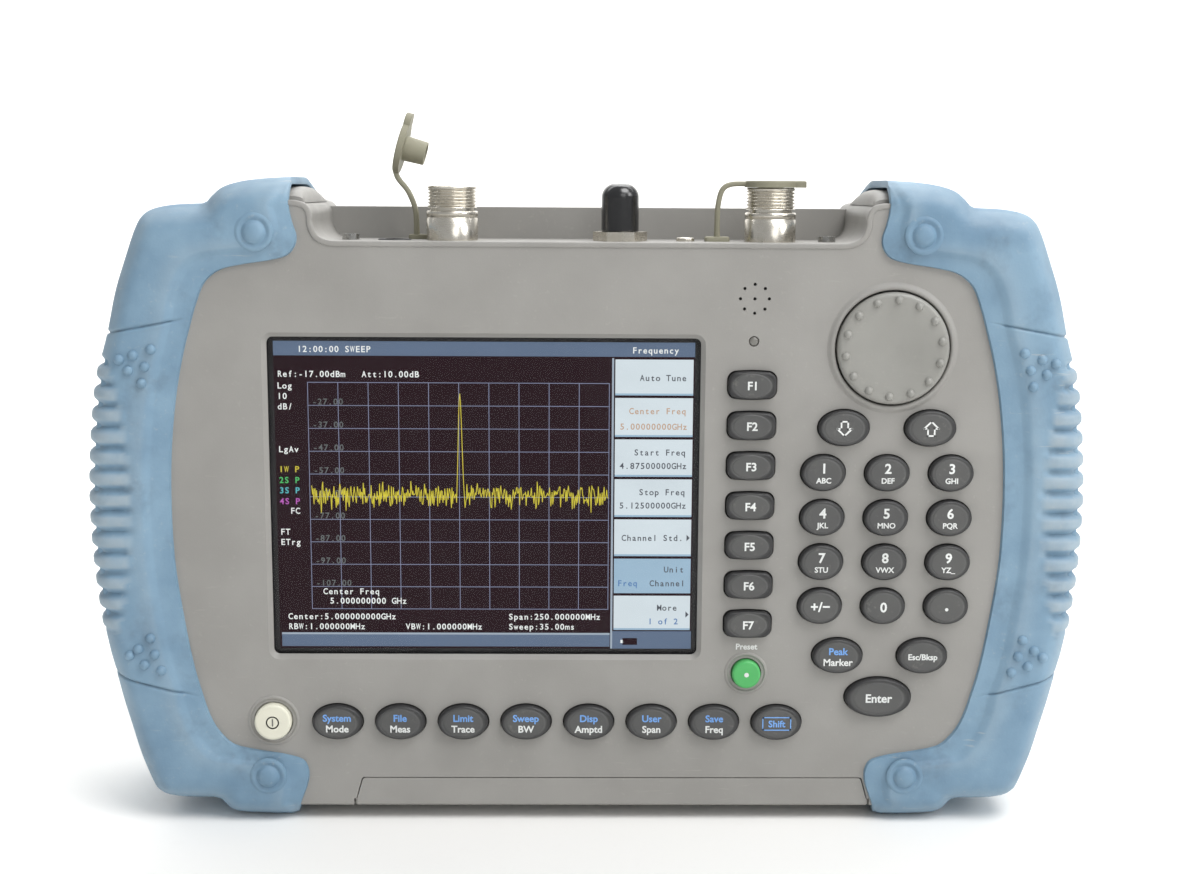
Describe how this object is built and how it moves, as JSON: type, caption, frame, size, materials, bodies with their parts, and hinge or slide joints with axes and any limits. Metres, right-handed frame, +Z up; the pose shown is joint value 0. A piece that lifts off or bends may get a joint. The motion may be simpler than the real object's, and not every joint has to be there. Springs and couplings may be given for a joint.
{
  "type": "spectrum analyzer",
  "caption": "Handheld spectrum analyzer with a colour screen, keypad, tuning knob, rubber corner bumpers, capped coaxial connectors along the top and a tilt bail.",
  "frame": {"origin": "bottom centre of the case, on the surface its two rubber feet stand on, midway between face and back", "axes": "+X to the right seen from the front, +Y from the face to the back, +Z up towards the connectors"},
  "size_m": [0.3182, 0.069, 0.228],
  "materials": {
    "housing": "fine moulded texture",
    "bumper": "soft blue rubber with worn patches",
    "key_rubber": "matt charcoal silicone",
    "power_key": "cream",
    "preset_key": "green",
    "battery": "satin",
    "clear_window": "polished",
    "panel": "matt",
    "silicone": "matt",
    "board": "solder mask",
    "shield": "bead blasted",
    "dark_plastic": "satin",
    "plated": "plated",
    "nickel": "bright nickel plate",
    "cap_rubber": "soft moulded",
    "vinyl": "glossy vinyl",
    "screw_steel": "zinc plated",
    "knob": "fine moulded texture"
  },
  "bodies": {
    "root": {"front_housing": "housing", "rear_housing": "housing", "left_bumper": "bumper", "right_bumper": "bumper", "battery_cover": "housing", "battery_pack": "battery", "display_window": "clear_window", "display_module": "panel", "keypad_mat": "silicone", "keypad_board": "board", "main_board": "board", "rf_module": "shield", "speaker": "dark_plastic", "encoder": "plated", "rf_input_connector": "nickel", "rf_output_connector": "nickel", "reference_connector": "nickel", "dc_jack": "dark_plastic", "headphone_jack": "nickel", "connector_cap_straps": "cap_rubber", "housing_screws": "screw_steel"},
    "soft_key_1": {"soft_key_1": "key_rubber"},
    "soft_key_2": {"soft_key_2": "key_rubber"},
    "soft_key_3": {"soft_key_3": "key_rubber"},
    "soft_key_4": {"soft_key_4": "key_rubber"},
    "soft_key_5": {"soft_key_5": "key_rubber"},
    "soft_key_6": {"soft_key_6": "key_rubber"},
    "soft_key_7": {"soft_key_7": "key_rubber"},
    "digit_key_one": {"digit_key_one": "key_rubber"},
    "digit_key_two": {"digit_key_two": "key_rubber"},
    "digit_key_three": {"digit_key_three": "key_rubber"},
    "digit_key_four": {"digit_key_four": "key_rubber"},
    "digit_key_five": {"digit_key_five": "key_rubber"},
    "digit_key_six": {"digit_key_six": "key_rubber"},
    "digit_key_seven": {"digit_key_seven": "key_rubber"},
    "digit_key_eight": {"digit_key_eight": "key_rubber"},
    "digit_key_nine": {"digit_key_nine": "key_rubber"},
    "digit_key_sign": {"digit_key_sign": "key_rubber"},
    "digit_key_zero": {"digit_key_zero": "key_rubber"},
    "digit_key_point": {"digit_key_point": "key_rubber"},
    "menu_key_mode": {"menu_key_mode": "key_rubber"},
    "menu_key_measure": {"menu_key_measure": "key_rubber"},
    "menu_key_trace": {"menu_key_trace": "key_rubber"},
    "menu_key_bandwidth": {"menu_key_bandwidth": "key_rubber"},
    "menu_key_amplitude": {"menu_key_amplitude": "key_rubber"},
    "menu_key_span": {"menu_key_span": "key_rubber"},
    "menu_key_frequency": {"menu_key_frequency": "key_rubber"},
    "menu_key_shift": {"menu_key_shift": "key_rubber"},
    "arrow_key_down": {"arrow_key_down": "key_rubber"},
    "arrow_key_up": {"arrow_key_up": "key_rubber"},
    "marker_key": {"marker_key": "key_rubber"},
    "escape_key": {"escape_key": "key_rubber"},
    "enter_key": {"enter_key": "key_rubber"},
    "power_key": {"power_key": "power_key"},
    "preset_key": {"preset_key": "preset_key"},
    "tuning_knob": {"tuning_knob": "knob"},
    "tilt_bail": {"tilt_bail": "dark_plastic"},
    "rf_input_cap": {"rf_input_cap": "cap_rubber"},
    "rf_output_cap": {"rf_output_cap": "cap_rubber"},
    "reference_cap": {"reference_cap": "vinyl"}
  },
  "joints": [
    {"name": "tuning_knob_turn", "type": "hinge", "parent": "root", "child": "tuning_knob", "pos_m": [0.095, 0, 0.155], "axis": [0, 1, 0], "continuous": true},
    {"name": "tilt_bail_swing", "type": "hinge", "parent": "root", "child": "tilt_bail", "pos_m": [0, 0.0333, 0.128], "axis": [1, 0, 0], "range_deg": [0, 55]},
    {"name": "rf_input_cap_pull", "type": "slide", "parent": "root", "child": "rf_input_cap", "axis": [0, 0, 1], "range_m": [0, 0.012], "deforming": ["connector_cap_straps"]},
    {"name": "rf_output_cap_sway", "type": "hinge", "parent": "root", "child": "rf_output_cap", "pos_m": [-0.057, 0.0055, 0.189], "axis": [0, 1, 0], "range_deg": [-15, 15], "stiffness_Nm_per_rad": 0.02, "deforming": ["connector_cap_straps"]},
    {"name": "reference_cap_pull", "type": "slide", "parent": "root", "child": "reference_cap", "axis": [0, 0, 1], "range_m": [0, 0.018]},
    {"name": "soft_key_1_press", "type": "slide", "parent": "root", "child": "soft_key_1", "axis": [0, 1, 0], "range_m": [0, 0.0008], "stiffness_N_per_m": 1500, "springref_m": -0.0004},
    {"name": "soft_key_2_press", "type": "slide", "parent": "root", "child": "soft_key_2", "axis": [0, 1, 0], "range_m": [0, 0.0008], "stiffness_N_per_m": 1500, "springref_m": -0.0004},
    {"name": "soft_key_3_press", "type": "slide", "parent": "root", "child": "soft_key_3", "axis": [0, 1, 0], "range_m": [0, 0.0008], "stiffness_N_per_m": 1500, "springref_m": -0.0004},
    {"name": "soft_key_4_press", "type": "slide", "parent": "root", "child": "soft_key_4", "axis": [0, 1, 0], "range_m": [0, 0.0008], "stiffness_N_per_m": 1500, "springref_m": -0.0004},
    {"name": "soft_key_5_press", "type": "slide", "parent": "root", "child": "soft_key_5", "axis": [0, 1, 0], "range_m": [0, 0.0008], "stiffness_N_per_m": 1500, "springref_m": -0.0004},
    {"name": "soft_key_6_press", "type": "slide", "parent": "root", "child": "soft_key_6", "axis": [0, 1, 0], "range_m": [0, 0.0008], "stiffness_N_per_m": 1500, "springref_m": -0.0004},
    {"name": "soft_key_7_press", "type": "slide", "parent": "root", "child": "soft_key_7", "axis": [0, 1, 0], "range_m": [0, 0.0008], "stiffness_N_per_m": 1500, "springref_m": -0.0004},
    {"name": "digit_key_one_press", "type": "slide", "parent": "root", "child": "digit_key_one", "axis": [0, 1, 0], "range_m": [0, 0.0008], "stiffness_N_per_m": 1500, "springref_m": -0.0004},
    {"name": "digit_key_two_press", "type": "slide", "parent": "root", "child": "digit_key_two", "axis": [0, 1, 0], "range_m": [0, 0.0008], "stiffness_N_per_m": 1500, "springref_m": -0.0004},
    {"name": "digit_key_three_press", "type": "slide", "parent": "root", "child": "digit_key_three", "axis": [0, 1, 0], "range_m": [0, 0.0008], "stiffness_N_per_m": 1500, "springref_m": -0.0004},
    {"name": "digit_key_four_press", "type": "slide", "parent": "root", "child": "digit_key_four", "axis": [0, 1, 0], "range_m": [0, 0.0008], "stiffness_N_per_m": 1500, "springref_m": -0.0004},
    {"name": "digit_key_five_press", "type": "slide", "parent": "root", "child": "digit_key_five", "axis": [0, 1, 0], "range_m": [0, 0.0008], "stiffness_N_per_m": 1500, "springref_m": -0.0004},
    {"name": "digit_key_six_press", "type": "slide", "parent": "root", "child": "digit_key_six", "axis": [0, 1, 0], "range_m": [0, 0.0008], "stiffness_N_per_m": 1500, "springref_m": -0.0004},
    {"name": "digit_key_seven_press", "type": "slide", "parent": "root", "child": "digit_key_seven", "axis": [0, 1, 0], "range_m": [0, 0.0008], "stiffness_N_per_m": 1500, "springref_m": -0.0004},
    {"name": "digit_key_eight_press", "type": "slide", "parent": "root", "child": "digit_key_eight", "axis": [0, 1, 0], "range_m": [0, 0.0008], "stiffness_N_per_m": 1500, "springref_m": -0.0004},
    {"name": "digit_key_nine_press", "type": "slide", "parent": "root", "child": "digit_key_nine", "axis": [0, 1, 0], "range_m": [0, 0.0008], "stiffness_N_per_m": 1500, "springref_m": -0.0004},
    {"name": "digit_key_sign_press", "type": "slide", "parent": "root", "child": "digit_key_sign", "axis": [0, 1, 0], "range_m": [0, 0.0008], "stiffness_N_per_m": 1500, "springref_m": -0.0004},
    {"name": "digit_key_zero_press", "type": "slide", "parent": "root", "child": "digit_key_zero", "axis": [0, 1, 0], "range_m": [0, 0.0008], "stiffness_N_per_m": 1500, "springref_m": -0.0004},
    {"name": "digit_key_point_press", "type": "slide", "parent": "root", "child": "digit_key_point", "axis": [0, 1, 0], "range_m": [0, 0.0008], "stiffness_N_per_m": 1500, "springref_m": -0.0004},
    {"name": "menu_key_mode_press", "type": "slide", "parent": "root", "child": "menu_key_mode", "axis": [0, 1, 0], "range_m": [0, 0.0008], "stiffness_N_per_m": 1500, "springref_m": -0.0004},
    {"name": "menu_key_measure_press", "type": "slide", "parent": "root", "child": "menu_key_measure", "axis": [0, 1, 0], "range_m": [0, 0.0008], "stiffness_N_per_m": 1500, "springref_m": -0.0004},
    {"name": "menu_key_trace_press", "type": "slide", "parent": "root", "child": "menu_key_trace", "axis": [0, 1, 0], "range_m": [0, 0.0008], "stiffness_N_per_m": 1500, "springref_m": -0.0004},
    {"name": "menu_key_bandwidth_press", "type": "slide", "parent": "root", "child": "menu_key_bandwidth", "axis": [0, 1, 0], "range_m": [0, 0.0008], "stiffness_N_per_m": 1500, "springref_m": -0.0004},
    {"name": "menu_key_amplitude_press", "type": "slide", "parent": "root", "child": "menu_key_amplitude", "axis": [0, 1, 0], "range_m": [0, 0.0008], "stiffness_N_per_m": 1500, "springref_m": -0.0004},
    {"name": "menu_key_span_press", "type": "slide", "parent": "root", "child": "menu_key_span", "axis": [0, 1, 0], "range_m": [0, 0.0008], "stiffness_N_per_m": 1500, "springref_m": -0.0004},
    {"name": "menu_key_frequency_press", "type": "slide", "parent": "root", "child": "menu_key_frequency", "axis": [0, 1, 0], "range_m": [0, 0.0008], "stiffness_N_per_m": 1500, "springref_m": -0.0004},
    {"name": "menu_key_shift_press", "type": "slide", "parent": "root", "child": "menu_key_shift", "axis": [0, 1, 0], "range_m": [0, 0.0008], "stiffness_N_per_m": 1500, "springref_m": -0.0004},
    {"name": "arrow_key_down_press", "type": "slide", "parent": "root", "child": "arrow_key_down", "axis": [0, 1, 0], "range_m": [0, 0.0008], "stiffness_N_per_m": 1500, "springref_m": -0.0004},
    {"name": "arrow_key_up_press", "type": "slide", "parent": "root", "child": "arrow_key_up", "axis": [0, 1, 0], "range_m": [0, 0.0008], "stiffness_N_per_m": 1500, "springref_m": -0.0004},
    {"name": "marker_key_press", "type": "slide", "parent": "root", "child": "marker_key", "axis": [0, 1, 0], "range_m": [0, 0.0008], "stiffness_N_per_m": 1500, "springref_m": -0.0004},
    {"name": "escape_key_press", "type": "slide", "parent": "root", "child": "escape_key", "axis": [0, 1, 0], "range_m": [0, 0.0008], "stiffness_N_per_m": 1500, "springref_m": -0.0004},
    {"name": "enter_key_press", "type": "slide", "parent": "root", "child": "enter_key", "axis": [0, 1, 0], "range_m": [0, 0.0008], "stiffness_N_per_m": 1500, "springref_m": -0.0004},
    {"name": "power_key_press", "type": "slide", "parent": "root", "child": "power_key", "axis": [0, 1, 0], "range_m": [0, 0.0008], "stiffness_N_per_m": 1500, "springref_m": -0.0004},
    {"name": "preset_key_press", "type": "slide", "parent": "root", "child": "preset_key", "axis": [0, 1, 0], "range_m": [0, 0.0008], "stiffness_N_per_m": 1500, "springref_m": -0.0004}
  ]
}
